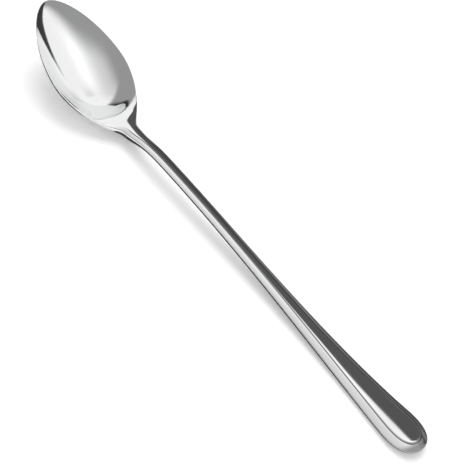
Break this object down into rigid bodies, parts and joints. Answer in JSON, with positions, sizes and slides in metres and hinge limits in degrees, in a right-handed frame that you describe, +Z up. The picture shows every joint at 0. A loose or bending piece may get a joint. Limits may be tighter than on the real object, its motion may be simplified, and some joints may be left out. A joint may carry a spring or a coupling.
{
  "type": "iced tea spoon",
  "caption": "Long slender spoon with a deep oval bowl tilted up at the tip and a slim stem that widens to a handle with a bevelled border and a raised panel, for stirring and sipping from a tall glass",
  "frame": {"origin": "middle of the bounding box on the table that the spoon rests on, bowl up", "axes": "X from the handle's round end to the tip of the bowl, Y across the spoon, Z up from the table"},
  "size_m": [0.195, 0.0308, 0.0197],
  "materials": {
    "polished_steel": "mirror polished stainless steel"
  },
  "bodies": {
    "root": {"bowl": "polished_steel", "neck": "polished_steel", "handle": "polished_steel"}
  },
  "joints": []
}
